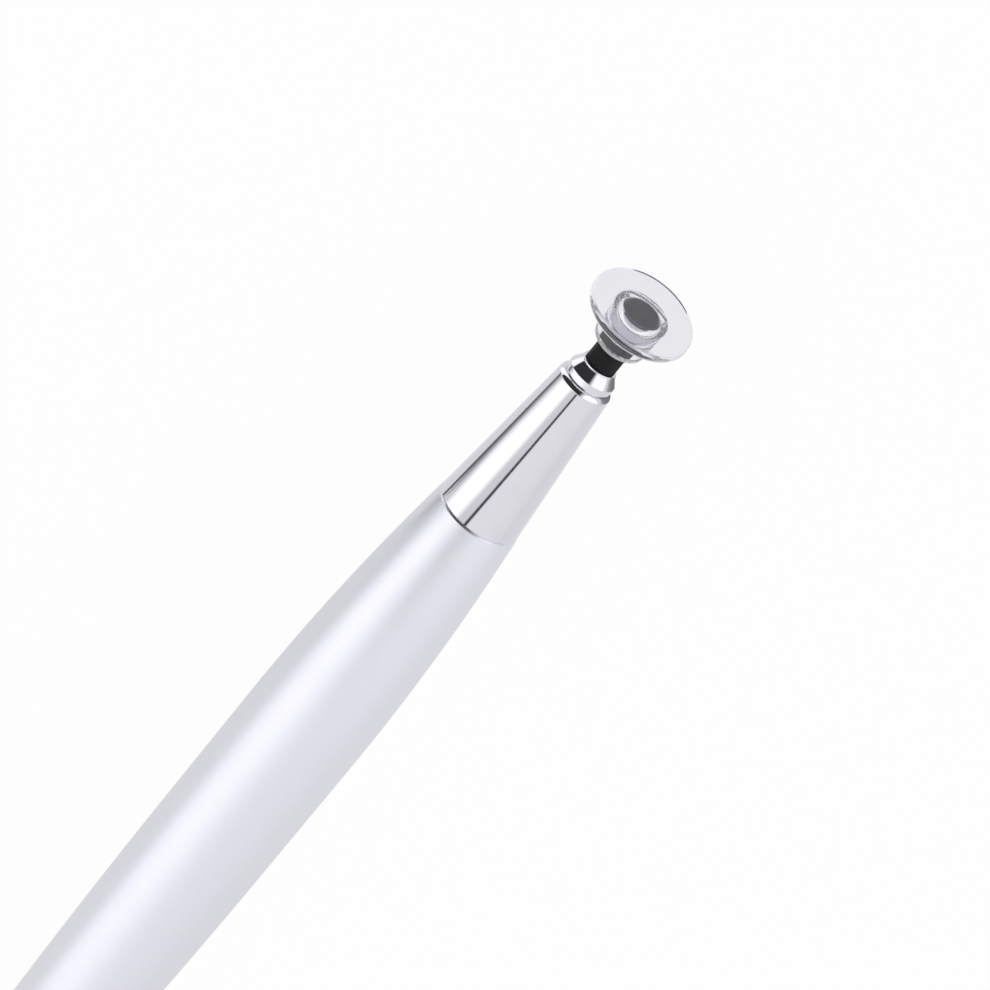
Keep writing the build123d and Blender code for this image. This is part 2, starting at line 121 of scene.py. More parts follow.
def tint(tree, first, second, share):
    """A colour that goes from one sRGB hex code to another as a share goes from 0 to 1."""
    mix = add_node(
        tree, "ShaderNodeMix", {"data_type": "RGBA", 6: linear(first), 7: linear(second)}, {0: share}
    )
    return mix.outputs[2]


def between(tree, low, high, share):
    """A number that goes from low to high as a share goes from 0 to 1."""
    span = add_node(tree, "ShaderNodeMapRange", {"To Min": low, "To Max": high}, {"Value": share})
    return span.outputs["Result"]


def relief(tree, strength, depth, height):
    """The surface's direction, bumped by a height from 0 to 1 with a depth in millimetres."""
    bump = add_node(
        tree, "ShaderNodeBump", {"Strength": strength, "Distance": depth * mm}, {"Height": height}
    )
    return bump.outputs["Normal"]


def swell(start, direction, end, steps):
    """Points of the arc that leaves start in a direction and arrives at end, start left out."""
    chord = (end[0] - start[0], end[1] - start[1])
    length = hypot(*chord)
    across = direction[0] * chord[1] - direction[1] * chord[0]
    onward = direction[0] * chord[0] + direction[1] * chord[1]
    turn = atan2(across, onward)
    points = []
    for step in range(1, steps + 1):
        share = step / steps
        reach = length * sin(turn * share) / sin(turn)
        heading = atan2(direction[1], direction[0]) + turn * share
        points.append((start[0] + reach * cos(heading), start[1] + reach * sin(heading)))
    return points


def add_inputs(tree, kinds):
    """Gives a geometry tree its named inputs, and returns the identifier of each."""
    identifiers = {}
    for name, kind in kinds.items():
        socket = tree.interface.new_socket(name, in_out="INPUT", socket_type=kind)
        identifiers[name] = socket.identifier
    return identifiers


def close_tree(tree, geometry, finish):
    """Ends a geometry tree: makes the geometry real, gives it its finish and hands out the piece."""
    whole = add_node(tree, "GeometryNodeRealizeInstances", links={"Geometry": geometry})
    painted = add_node(
        tree, "GeometryNodeSetMaterial", links={"Geometry": whole.outputs["Geometry"], "Material": finish}
    )
    tree.interface.new_socket("Piece", in_out="OUTPUT", socket_type="NodeSocketGeometry")
    add_node(tree, "NodeGroupOutput", links={"Piece": painted.outputs["Geometry"]})


# The lathe: a node tree that turns an outline, drawn as a loop of edges, about the pen's axis.
lathe = bpy.data.node_groups.new("turned_on_lathe", "GeometryNodeTree")
lathe_inputs = add_inputs(lathe, {
    "Outline": "NodeSocketGeometry", "Facets": "NodeSocketInt", "Spindle Radius": "NodeSocketFloat",
    "Weld Distance": "NodeSocketFloat", "Finish": "NodeSocketMaterial",
})
sizes = add_node(lathe, "NodeGroupInput")
edge = add_node(lathe, "GeometryNodeMeshToCurve", links={0: sizes.outputs["Outline"]})
spindle = add_node(
    lathe, "GeometryNodeCurvePrimitiveCircle",
    links={"Resolution": sizes.outputs["Facets"], "Radius": sizes.outputs["Spindle Radius"]},
)
turned = add_node(
    lathe, "GeometryNodeCurveToMesh",
    links={"Curve": spindle.outputs["Curve"], "Profile Curve": edge.outputs["Curve"]},
)
laid = add_node(
    lathe, "GeometryNodeTransform", {"Rotation": (0.0, pi / 2, 0.0)}, {"Geometry": turned.outputs["Mesh"]}
)
welded = add_node(
    lathe, "GeometryNodeMergeByDistance",
    links={"Geometry": laid.outputs["Geometry"], "Distance": sizes.outputs["Weld Distance"]},
)
close_tree(lathe, welded.outputs["Geometry"], sizes.outputs["Finish"])
spindle_radius = 1.0
weld_distance = 1e-7
speck_distance = 1e-8
crease = radians(35)


def new_thing(name, points, edges, faces):
    """An object in the scene whose mesh has these points, edges and faces."""
    mesh = bpy.data.meshes.new(name)
    mesh.from_pydata(points, edges, faces)
    thing = bpy.data.objects.new(name, mesh)
    bpy.context.scene.collection.objects.link(thing)
    return thing


def plain_mesh(thing):
    """Makes the piece's modifiers into its mesh, welded, facing outwards and smooth but for its creases."""
    graph = bpy.context.evaluated_depsgraph_get()
    mesh = bpy.data.meshes.new_from_object(thing.evaluated_get(graph))
    thing.modifiers.clear()
    thing.data = mesh
    shell = bmesh.new()
    shell.from_mesh(mesh)
    bmesh.ops.remove_doubles(shell, verts=shell.verts, dist=weld_distance)
    bmesh.ops.dissolve_degenerate(shell, edges=shell.edges, dist=speck_distance)
    bmesh.ops.recalc_face_normals(shell, faces=shell.faces)
    shell.to_mesh(mesh)
    shell.free()
    mesh.shade_smooth()
    mesh.set_sharp_from_angle(angle=crease)
    mesh.name = thing.name


def run_tree(thing, tree, identifiers, values):
    """Runs a geometry tree on the piece with its named inputs set, and keeps the result as its mesh."""
    shaping = thing.modifiers.new(tree.name, "NODES")
    shaping.node_group = tree
    for name, value in values.items():
        shaping[identifiers[name]] = value
    plain_mesh(thing)


def turn_piece(name, outline, finish, facets, position=None):
    """A piece turned about the pen's axis from its outline of (x, radius) points, and put in position."""
    points = [((r - spindle_radius) * mm, -x * mm, 0.0) for x, r in outline]
    loop = [(i, (i + 1) % len(points)) for i in range(len(points))]
    thing = new_thing(name, points, loop, [])
    run_tree(thing, lathe, lathe_inputs, {
        "Facets": facets, "Spindle Radius": spindle_radius * mm, "Weld Distance": weld_distance,
        "Finish": finish,
    })
    if position:
        thing.data.transform(position)
    return thing


def fit(thing, body, slot, *nodes):
    """The piece moves with a body and stands for its CAD nodes, which are hidden; the slot is not used."""
    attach(thing, body)
    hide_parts(*nodes)


# Bead-blasted, anodised aluminium: a broad soft sheen with a cool cast, broken up by a very
# fine grain. The blast grain is about 0.12 mm, and slow shifts of the sheen about 6 mm.
satin_silver, tree = new_finish("satin_anodised_aluminium")
blast_size = 0.12
blast_depth = 0.004
drift_size = 6.0
place = add_node(tree, "ShaderNodeTexCoord").outputs["Object"]
blast = noise(tree, place, blast_size, 2.0)
drift = noise(tree, place, drift_size, 1.0)
close_finish(tree, add_node(
    tree, "ShaderNodeBsdfPrincipled", {"Metallic": 1.0},
    {
        "Base Color": tint(tree, "#E3E3EB", "#E9E9F1", blast),
        "Roughness": between(tree, 0.33, 0.37, drift),
        "Normal": relief(tree, 0.25, blast_depth, blast),
    },
))

barrel_outline = (
    [(seam_x, barrel_front_bore), (seam_x, barrel_front_radius - barrel_edge)]
    + [(seam_x - barrel_edge, barrel_front_radius + barrel_edge_rise)]
    + swell((grip_half, grip_radius), (1, 0), (seam_x, barrel_front_radius), front_swell_steps)[-2::-1]
    + [(grip_half, grip_radius), (-grip_half, grip_radius)]
    + swell((-grip_half, grip_radius), (-1, 0), (barrel_end_x, barrel_rear_radius), rear_swell_steps)
    + [(barrel_end_x, barrel_bore), (barrel_front_bore_x, barrel_bore)]
    + [(barrel_front_bore_x, barrel_front_bore)]
)
barrel_tube = turn_piece("barrel_tube", barrel_outline, satin_silver, facets=192)
fit(barrel_tube, "pen", "satin_aluminium", "barrel")

# Bushes: two threaded sleeves pressed into the ends of the barrel, which take the nose and
# the writing section. They are turned brass and keep their CAD shape.

# A wave texture of scale 1 repeats every 0.314 units.
wave_period = 0.314


def stripes(tree, place, pitch, distortion):
    """Lines from 0 to 1 that change along x alone, a pitch in millimetres apart, and a little wavy."""
    wave = add_node(
        tree, "ShaderNodeTexWave",
        {
            "wave_type": "BANDS", "bands_direction": "X", "Scale": wave_period / (pitch * mm),
            "Distortion": distortion,
        },
        {"Vector": place},
    )
    return wave.outputs["Fac"]


def finish_node(finish, *names):
    """Gives CAD nodes that keep their shape a finish."""
    for name in names:
        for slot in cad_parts[name].material_slots:
            slot.material = finish


# Turned brass: a warm yellow metal, with rings 0.08 mm apart that the tool leaves about the axis.
brass, tree = new_finish("turned_brass")
tool_pitch = 0.08
tool_depth = 0.003
place = add_node(tree, "ShaderNodeTexCoord").outputs["Object"]
rings = stripes(tree, place, tool_pitch, 0.4)
close_finish(tree, add_node(
    tree, "ShaderNodeBsdfPrincipled", {"Metallic": 1.0, "Roughness": 0.24},
    {
        "Base Color": tint(tree, "#C9A65A", "#DDBD74", rings),
        "Normal": relief(tree, 0.3, tool_depth, rings),
    },
))
finish_node(brass, "front_bush", "rear_bush")

# Nose cone: the mirror-bright cone in front of the seam, with a rounded lip that the collar
# sits on. It is brass, turned, polished and chromed, and screws into the front bush.
nose_front_x = 38.87
nose_lip_x = 38.5
nose_rear_radius = 3.05
nose_shoulder_radius = 1.97
nose_lip_radius = 1.73
nose_lip_steps = 12
nose_edge = 0.1
nose_bore = 1.02
nose_cavity = 1.45
nose_step_x = 35.15
nose_spigot = 2.1
nose_end_x = 19.5
nose_slope = (nose_rear_radius - nose_shoulder_radius) / (nose_lip_x - seam_x)

# Bright chrome plate: a clean mirror, a little cool, over polishing waves about 1.6 mm long
# that make its reflections waver, with a haze of fine wiping marks.
chrome, tree = new_finish("bright_chrome_plate")
wave_size = 1.6
wave_depth = 0.002
haze_size = 0.35
place = add_node(tree, "ShaderNodeTexCoord").outputs["Object"]
waves = noise(tree, place, wave_size, 0.0)
haze = noise(tree, place, haze_size, 3.0)
close_finish(tree, add_node(
    tree, "ShaderNodeBsdfPrincipled", {"Metallic": 1.0},
    {
        "Base Color": tint(tree, "#DEDCE3", "#E2E0E7", waves),
        "Roughness": between(tree, 0.035, 0.075, haze),
        "Normal": relief(tree, 0.5, wave_depth, waves),
    },
))

nose_outline = (
    [(seam_x, nose_spigot), (seam_x, nose_rear_radius - nose_edge)]
    + [(seam_x + nose_edge, nose_rear_radius - nose_slope * nose_edge), (nose_lip_x, nose_shoulder_radius)]
    + swell(
        (nose_lip_x, nose_shoulder_radius), (1, -nose_slope), (nose_front_x, nose_lip_radius), nose_lip_steps
    )
    + [(nose_front_x, nose_bore), (nose_step_x, nose_bore), (nose_step_x, nose_cavity)]
    + [(nose_end_x, nose_cavity), (nose_end_x, nose_spigot)]
)
nose_shell = turn_piece("nose_shell", nose_outline, chrome, facets=160)
fit(nose_shell, "pen", "bright_chrome", "nose_cone")

# Tip collar: the small flared head at the front of the nose, with a bead round the neck and a
# thin groove behind. It is turned brass, chromed, and its shank screws into the nose.
collar_groove_radius = 1.62
collar_rim_x = 38.97
collar_rim_radius = 1.7
collar_rim_round = 0.03
collar_flare_x = 39.47
collar_top_x = 40.17
collar_top_radius = 1.27
collar_bead_x = 40.31
collar_bead_round = 0.05
collar_seat_x = 39.82
collar_seat_radius = 1.12
collar_foot_x = 35.45
collar_shank = 1.0
collar_bore = 0.59
flat_share = 0.06


def ease(corners, steps=5):
    """An outline with rounded corners, from (x, radius) or (x, radius, rounding) corners.

    A point a little outside each end of a rounding keeps the shading of the faces beside it flat.
    """
    outline = []
    count = len(corners)
    for place, corner in enumerate(corners):
        here = Vector(corner[:2])
        rounding = corner[2] if len(corner) > 2 else 0.0
        if not rounding:
            outline.append(tuple(here))
            continue
        back = (Vector(corners[place - 1][:2]) - here).normalized()
        ahead = (Vector(corners[(place + 1) % count][:2]) - here).normalized()
        half = acos(max(-1.0, min(1.0, back.dot(ahead)))) / 2
        middle = here + (back + ahead).normalized() * (rounding / sin(half))
        first = here + back * (rounding / tan(half)) - middle
        last = here + ahead * (rounding / tan(half)) - middle
        opening = pi - 2 * half
        outline.append(tuple(middle + first + back * rounding * flat_share))
        for step in range(steps + 1):
            share = step / steps
            spoke = first * sin(opening * (1 - share)) + last * sin(opening * share)
            outline.append(tuple(middle + spoke / sin(opening)))
        outline.append(tuple(middle + last + ahead * rounding * flat_share))
    return outline


collar_outline = ease([
    (collar_foot_x, collar_bore), (collar_seat_x, collar_bore), (collar_seat_x, collar_seat_radius),
    (collar_bead_x, collar_seat_radius), (collar_bead_x, collar_top_radius, collar_bead_round),
    (collar_top_x, collar_top_radius), (collar_flare_x, collar_rim_radius, collar_rim_round),
    (collar_rim_x, collar_rim_radius, collar_rim_round),
    (collar_rim_x, collar_groove_radius), (nose_front_x, collar_groove_radius),
    (nose_front_x, collar_shank), (collar_foot_x, collar_shank),
])
collar_head = turn_piece("collar_head", collar_outline, chrome, facets=128)
fit(collar_head, "pen", "bright_chrome", "tip_collar")

# Ball pin: a steel pin with a ball on its end that is cut flat in front, ground all over. Its
# journal turns in the collar, a pressed ring holds it from behind, and the ball carries the disc.
ball_x = 43.9
ball_steps = 40
pad_radius = 1.385
pad_reach = 0.77
pad_thickness = 0.3
ball_radius = hypot(pad_radius, pad_reach)
pin_radius = 0.35
journal_radius = 0.55
pin_end_x = 34.5

# Ground steel: a grey, fairly bright metal with faint grinding lines 0.05 mm apart.
steel, tree = new_finish("ground_steel")
grind_pitch = 0.05
place = add_node(tree, "ShaderNodeTexCoord").outputs["Object"]
grind = stripes(tree, place, grind_pitch, 1.5)
close_finish(tree, add_node(
    tree, "ShaderNodeBsdfPrincipled", {"Metallic": 1.0},
    {"Base Color": tint(tree, "#B4B5B8", "#C6C7CA", grind), "Roughness": between(tree, 0.12, 0.2, grind)},
))


def arc_about(centre_x, radius, start_x, end_x, steps):
    """Points of an arc about a point of the axis, from one x to another, both included."""
    first = acos(max(-1.0, min(1.0, (start_x - centre_x) / radius)))
    last = acos(max(-1.0, min(1.0, (end_x - centre_x) / radius)))
    angles = [first + (last - first) * step / steps for step in range(steps + 1)]
    return [(centre_x + radius * cos(a), radius * sin(a)) for a in angles]


ball_root_x = ball_x - sqrt(ball_radius ** 2 - pin_radius ** 2)
ball_flat_x = ball_x + pad_reach - pad_thickness
pin_outline = (
    [(ball_flat_x, 0.0), (pin_end_x, 0.0), (pin_end_x, journal_radius), (collar_seat_x, journal_radius)]
    + [(collar_seat_x, pin_radius)] + arc_about(ball_x, ball_radius, ball_root_x, ball_flat_x, ball_steps)
)
ball_and_pin = turn_piece("ball_and_pin", pin_outline, steel, facets=96)
fit(ball_and_pin, "tip_stem", "steel", "ball_pin")

# Pin retainer and finial screw: a ring pressed on the pin's tail and the screw that holds the
# finial. Both are the pin's ground steel and keep their CAD shape.
finish_node(steel, "pin_retainer", "finial_screw")

# Neck sleeve: the short black tube between collar and hub. It is conductive silicone rubber,
# moulded with a hollow end that fits the back of the ball, and pushed on the pin.
sleeve_radius = 1.1
sleeve_bore = 0.37
sleeve_fit = 0.02
hollow_steps = 12

# Conductive silicone: nearly black and matt, with a soft sheen at its edges, a moulded skin of
# about 0.09 mm and a few paler specks of lint, 0.05 mm across, which cling to such rubber.
rubber, tree = new_finish("black_silicone_rubber")
skin_size = 0.09
skin_depth = 0.006
lint_spacing = 0.16
lint_free = 0.72
place = add_node(tree, "ShaderNodeTexCoord").outputs["Object"]
skin = noise(tree, place, skin_size, 3.0)
lint = add_node(tree, "ShaderNodeTexVoronoi", {"Scale": 1 / (lint_spacing * mm)}, {"Vector": place})
specks = add_node(
    tree, "ShaderNodeMapRange", {"From Min": 0.1, "From Max": 0.22, "To Min": 1.0, "To Max": 0.0},
    {"Value": lint.outputs["Distance"]},
)
few = add_node(
    tree, "ShaderNodeMath", {"operation": "GREATER_THAN", 1: lint_free}, {0: lint.outputs["Color"]}
)
lint_share = add_node(
    tree, "ShaderNodeMath", {"operation": "MULTIPLY"}, {0: specks.outputs[0], 1: few.outputs[0]}
)
close_finish(tree, add_node(
    tree, "ShaderNodeBsdfPrincipled", {"IOR": 1.42, "Specular IOR Level": 0.3},
    {
        "Base Color": tint(tree, "#0F1011", "#37383A", lint_share.outputs[0]),
        "Roughness": between(tree, 0.48, 0.66, skin),
        "Normal": relief(tree, 0.4, skin_depth, skin),
    },
))

hollow_radius = ball_radius + sleeve_fit
hollow_rim_x = ball_x - sqrt(hollow_radius ** 2 - sleeve_radius ** 2)
hollow_foot_x = ball_x - sqrt(hollow_radius ** 2 - sleeve_bore ** 2)
sleeve_outline = (
    [(collar_seat_x, sleeve_bore), (collar_seat_x, sleeve_radius)]
    + arc_about(ball_x, hollow_radius, hollow_rim_x, hollow_foot_x, hollow_steps)
)
neck_tube = turn_piece("neck_tube", sleeve_outline, rubber, facets=96)
fit(neck_tube, "tip_stem", "black_rubber", "neck_sleeve")

# Contact pad: the dark round pad behind the face of the disc, which carries the charge to the
# screen. It is a carbon-filled plastic, pressed, and bonded on the flat front of the ball.
pad_edge = 0.05
pad_rim_steps = 8
rim_highlight_width = 0.15

# Carbon-filled plastic: dark slate grey with fine grey flecks of 0.1 mm, and a painted highlight that
# makes its rim paler over its last 0.15 mm. It is wet with grease nearly as dense as itself, so it keeps
# little gloss.
slate, tree = new_finish("carbon_filled_pad")
fleck_size = 0.1
place = add_node(tree, "ShaderNodeTexCoord").outputs["Object"]
flecks = noise(tree, place, fleck_size, 3.0)
flat_place = add_node(tree, "ShaderNodeMapping", {"Scale": (0.0, 1.0, 1.0)}, {"Vector": place})
off_axis = add_node(tree, "ShaderNodeVectorMath", {"operation": "LENGTH"}, {0: flat_place.outputs[0]})
# Painted highlight: the pad turns lighter grey towards its rim, over its last 0.15 mm.
painted_rim_highlight = add_node(
    tree, "ShaderNodeMapRange",
    {"From Min": (pad_radius - rim_highlight_width) * mm, "From Max": pad_radius * mm, "To Max": 0.6},
    {"Value": off_axis.outputs["Value"]},
)
pad_and_highlight = add_node(
    tree, "ShaderNodeMix", {"data_type": "RGBA", 7: linear("#6A6B70")},
    {0: painted_rim_highlight.outputs[0], 6: tint(tree, "#0E0F13", "#17181C", flecks)},
)
close_finish(tree, add_node(
    tree, "ShaderNodeBsdfPrincipled", {"IOR": 1.5, "Specular IOR Level": 0.15},
    {"Base Color": pad_and_highlight.outputs[2], "Roughness": between(tree, 0.35, 0.5, flecks)},
))
pad_face_x = ball_x + pad_reach
pad_rim = arc_about(ball_x, ball_radius, ball_flat_x, pad_face_x - pad_edge, pad_rim_steps)
pad_rim_radius = pad_rim[-1][1]
# The edge turns from the rim to the face through one point, given in shares of the edge.
turn_back, turn_in, face_in = 0.3, 0.5, 1.2
pad_outline = (
    [(ball_flat_x, 0.0)] + pad_rim
    + [(pad_face_x - pad_edge * turn_back, pad_rim_radius - pad_edge * turn_in)]
    + [(pad_face_x, pad_rim_radius - pad_edge * face_in), (pad_face_x, 0.0)]
)
dark_pad = turn_piece("dark_pad", pad_outline, slate, facets=96)
fit(dark_pad, "tip_stem", "conductive_pad", "contact_pad")

# Clear tip: the flat disc that touches the screen and the hub behind it, with the socket round
# the ball and a skirt round the neck. Both are moulded acrylic, bonded, so they read as one piece.
# Stations are along the disc's axis, from the centre of the ball.
disc_lean = radians(13)
disc_swing = radians(15)
disc_radius = 3.7
disc_thickness = 0.65
disc_skin = 0.25
disc_edge = 0.25
hub_length = 2.44
hub_wall = 0.33
hub_fillet = 0.08
skirt_wall = 0.22
rim_length = 0.3
running_fit = 0.04
socket_steps = 40
fine_steps = 8
socket_radius = ball_radius + running_fit
pocket_front = ball_radius * cos(atan2(pad_radius, pad_reach) - disc_swing) + running_fit
disc_front = pocket_front + disc_skin
disc_rear = disc_front - disc_thickness
hub_rear = disc_rear - hub_length
neck_clear = sleeve_radius + running_fit
lip = neck_clear * sin(disc_swing) - sqrt(socket_radius ** 2 - neck_clear ** 2) * cos(disc_swing)
skirt_mouth = neck_clear / cos(disc_swing) - hub_rear * tan(disc_swing)

# Acrylic: water clear with a faint cool cast, glossy, with moulding ripples about 1.2 mm
# long and a trace of wear haze on the face.
acrylic, tree = new_finish("clear_acrylic")
ripple_size = 1.2
ripple_depth = 0.002
wear_size = 0.25
place = add_node(tree, "ShaderNodeTexCoord").outputs["Object"]
ripples = noise(tree, place, ripple_size, 1.0)
wear = noise(tree, place, wear_size, 2.0)
close_finish(tree, add_node(
    tree, "ShaderNodeBsdfPrincipled", {"Transmission Weight": 1.0, "IOR": 1.49},
    {
        "Base Color": tint(tree, "#F6F5FB", "#F9F8FD", ripples),
        "Roughness": between(tree, 0.0, 0.04, wear),
        "Normal": relief(tree, 0.3, ripple_depth, ripples),
    },
))

rim_front = hub_rear + rim_length
rim_front_radius = neck_clear / cos(disc_swing) - rim_front * tan(disc_swing)
hub_slope = (skirt_mouth + skirt_wall - socket_radius - hub_wall) / (hub_rear - disc_rear)
rim_outer = skirt_mouth + skirt_wall + hub_slope * rim_length
tip_outline = ease([
    (disc_front, 0.0), (disc_front, disc_radius, disc_edge), (disc_rear, disc_radius, disc_edge),
    (disc_rear, socket_radius + hub_wall, hub_fillet), (rim_front, rim_outer), (rim_front, rim_front_radius),
], fine_steps)
tip_outline += arc_about(0.0, socket_radius, lip, pocket_front, socket_steps) + [(pocket_front, 0.0)]
disc_place = Matrix.Translation((ball_x * mm, 0.0, 0.0)) @ Matrix.Rotation(-disc_lean, 4, "Y")
clear_tip = turn_piece("clear_tip", tip_outline, acrylic, facets=192, position=disc_place)
fit(clear_tip, "tip_disc", "clear_acrylic", "contact_disc", "socket_hub")

# Grease: a film of clear silicone grease between the pad and the pocket in the disc, so there is no
# air in front of the pad. It is as clear as the acrylic and wets both: the pad lies a little in it,
# and it lies a little in the acrylic. It moves with the disc.
pad_embed = 0.06
grease_wet = 0.01
grease_steps = 24
hair = 0.0005
grease_front = pocket_front + grease_wet
grease_radius = socket_radius + grease_wet
seat_reach = pad_reach - pad_embed
front_angle = acos(grease_front / grease_radius)
seat_angle = acos(seat_reach / grease_radius)
grease_outline = (
    [(grease_front, 0.0)] + arc_about(0.0, grease_radius, grease_front, seat_reach, grease_steps)
    + [(seat_reach, 0.0)]
)
grease_film = turn_piece("grease_film", grease_outline, acrylic, facets=192)
# The pad is square to the pen and not to the disc, so the film ends there on a leaning circle.
for corner in grease_film.data.vertices:
    spot = corner.co / mm
    if abs(spot.length - grease_radius) < hair:
        share = (acos(spot.x / grease_radius) - front_angle) / (seat_angle - front_angle)
        around = atan2(spot.y, spot.z)
        rise = sin(disc_lean) * cos(around)
        level = cos(disc_lean)
        end_angle = acos(seat_reach / grease_radius / hypot(level, rise)) - atan2(rise, level)
        polar = front_angle + share * (end_angle - front_angle)
        outward = Vector((cos(polar), sin(polar) * sin(around), sin(polar) * cos(around)))
        corner.co = outward * grease_radius * mm
    elif hypot(spot.y, spot.z) < hair and abs(spot.x - seat_reach) < hair:
        corner.co = (seat_reach / cos(disc_lean) * mm, 0.0, 0.0)
grease_film.data.transform(disc_place)
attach(grease_film, "tip_disc")
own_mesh(grease_film)

# Hub rim: the rear end of the hub, cut to length and left ground, so it is white and not clear.
# It is the hub's own acrylic, in one with it.
hub_rim = 0.12

# Ground acrylic: a fine white bloom that still lets light through, with saw lines 0.08 mm apart.
ground_acrylic, tree = new_finish("ground_acrylic")
saw_pitch = 0.08
place = add_node(tree, "ShaderNodeTexCoord").outputs["Object"]
saw_lines = stripes(tree, place, saw_pitch, 2.0)
close_finish(tree, add_node(
    tree, "ShaderNodeBsdfPrincipled", {"Transmission Weight": 0.55, "IOR": 1.49, "Roughness": 0.4},
    {"Base Color": tint(tree, "#E4E3E8", "#F8F7FA", saw_lines)},
))
rim_outline = ease([
    (rim_front, rim_front_radius), (rim_front, rim_outer),
    (hub_rear, skirt_mouth + skirt_wall, hub_rim), (hub_rear, skirt_mouth),
])
ground_rim = turn_piece("ground_rim", rim_outline, ground_acrylic, facets=192, position=disc_place)
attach(ground_rim, "tip_disc")

# Centre ring: the bright ring between barrel and cap, clamped by the writing section. It is
# chromed brass, as wide as the grip, so the pen lies level on it.
ring_front_x = barrel_end_x
ring_rear_x = -33.9
ring_edge = 0.35
ring_bore = 2.4
ring_outline = ease([
    (ring_front_x, ring_bore), (ring_rear_x, ring_bore),
    (ring_rear_x, grip_radius, ring_edge), (ring_front_x, grip_radius, ring_edge),
], fine_steps)
bright_ring = turn_piece("bright_ring", ring_outline, chrome, facets=160)
fit(bright_ring, "pen", "bright_chrome", "centre_ring")

# Writing section: the black front of the ballpoint, under the cap. It is moulded ABS, screws
# into the rear bush, clamps the ring, and has a groove for the ring that grips the cap.
section_mouth_x = -63.9
section_taper_x = -42.9
section_radius = 2.55
section_mouth_radius = 1.55
section_mouth_round = 0.15
section_bore = 1.19
section_spigot = 2.38
section_end_x = -21.5
groove_middle_x = -38.9
groove_half = 0.34
groove_radius = 2.13

# Moulded ABS: black with a medium gloss and a fine spark-eroded texture of 0.15 mm.
abs_black, tree = new_finish("moulded_black_abs")
spark_size = 0.15
spark_depth = 0.004
place = add_node(tree, "ShaderNodeTexCoord").outputs["Object"]
spark = noise(tree, place, spark_size, 2.0)
close_finish(tree, add_node(
    tree, "ShaderNodeBsdfPrincipled", {"IOR": 1.54},
    {
        "Base Color": tint(tree, "#18181A", "#222224", spark),
        "Roughness": between(tree, 0.22, 0.34, spark),
        "Normal": relief(tree, 0.3, spark_depth, spark),
    },
))
mouth_arc = ease([
    (section_taper_x, section_radius), (section_mouth_x, section_mouth_radius, section_mouth_round),
    (section_mouth_x, section_bore),
])[1:-1]
section_outline = (
    [(section_end_x, section_bore), (section_end_x, section_spigot), (ring_rear_x, section_spigot)]
    + [(ring_rear_x, section_radius), (groove_middle_x + groove_half, section_radius)]
    + [(groove_middle_x + groove_half, groove_radius), (groove_middle_x - groove_half, groove_radius)]
    + [(groove_middle_x - groove_half, section_radius), (section_taper_x, section_radius)]
    + mouth_arc
    + [(section_mouth_x, section_bore)]
)
pen_section = turn_piece("pen_section", section_outline, abs_black, facets=128)
fit(pen_section, "pen", "black_plastic", "writing_section")

# Grip ring: the ring that the cap slides over and grips. It is moulded in the same silicone
# rubber as the neck, with a round section, and is stretched into the section's groove.
grip_ring_section = 0.3
grip_ring_middle = 2.45
grip_ring_steps = 24
grip_ring_outline = []
for step in range(grip_ring_steps):
    round_angle = 2 * pi * step / grip_ring_steps
    ring_x = groove_middle_x + grip_ring_section * cos(round_angle)
    grip_ring_outline.append((ring_x, grip_ring_middle + grip_ring_section * sin(round_angle)))
rubber_ring = turn_piece("rubber_ring", grip_ring_outline, rubber, facets=96)
fit(rubber_ring, "pen", "black_rubber", "grip_ring")

# Refill tube: the tube of ink in the bore of the writing section. It is drawn brass and keeps
# its CAD shape.
finish_node(brass, "refill_tube")

# Refill point: the brass tip of the ink refill, with a nib that seats the writing ball. It is
# turned, and its stem is pressed into the refill tube.
refill_front_x = -62.9
point_end_x = -67.5
point_shoulder_x = -64.5
point_shoulder_round = 0.1
point_radius = 1.17
nib_x = -66.8
nib_radius = 0.45
nib_round = 0.04
stem_radius = 0.99
stem_end_x = -60.9
writing_ball_x = -67.37
writing_ball_radius = 0.35
writing_ball_air = 0.02
seat_steps = 12
seat_radius = writing_ball_radius + writing_ball_air
seat_start = acos((point_end_x - writing_ball_x) / seat_radius)
point_outline = ease([
    (stem_end_x, 0.0), (stem_end_x, stem_radius), (refill_front_x, stem_radius),
    (refill_front_x, point_radius), (point_shoulder_x, point_radius, point_shoulder_round),
    (nib_x, nib_radius), (point_end_x, nib_radius, nib_round), (point_end_x, seat_radius * sin(seat_start)),
])
for step in range(1, seat_steps + 1):
    seat_turn = seat_start * (1 - step / seat_steps)
    point_outline.append((writing_ball_x + seat_radius * cos(seat_turn), seat_radius * sin(seat_turn)))
brass_point = turn_piece("brass_point", point_outline, brass, facets=64)
fit(brass_point, "pen", "brass", "refill_point")

# Writing ball: the ball that rolls in the nib and lays the ink. It is hard steel, ground, and
# the nib is rolled over it so that it can't fall out.
writing_ball_steps = 24
ball_outline = []
for step in range(writing_ball_steps + 1):
    round_angle = pi * step / writing_ball_steps
    ball_outline.append(
        (writing_ball_x + writing_ball_radius * cos(round_angle), writing_ball_radius * sin(round_angle))
    )
ink_ball = turn_piece("ink_ball", ball_outline, steel, facets=48)
fit(ink_ball, "roller", "steel", "writing_ball")

# Cap: the pull-off half of the pen, a tapered tube with a solid end and a slot for the root of
# the clip. It is aluminium in the same blasted and anodised finish as the barrel.
cap_mouth_x = -34.0
cap_end_x = -90.0
cap_floor_x = -87.0
cap_mouth_radius = 3.75
cap_end_radius = 3.35
cap_end_round = 0.05
cap_mouth_edge = 0.15
cap_bore = 2.93
cap_front_bore = 3.12
liner_rear_x = -58.6
screw_hole = 0.82
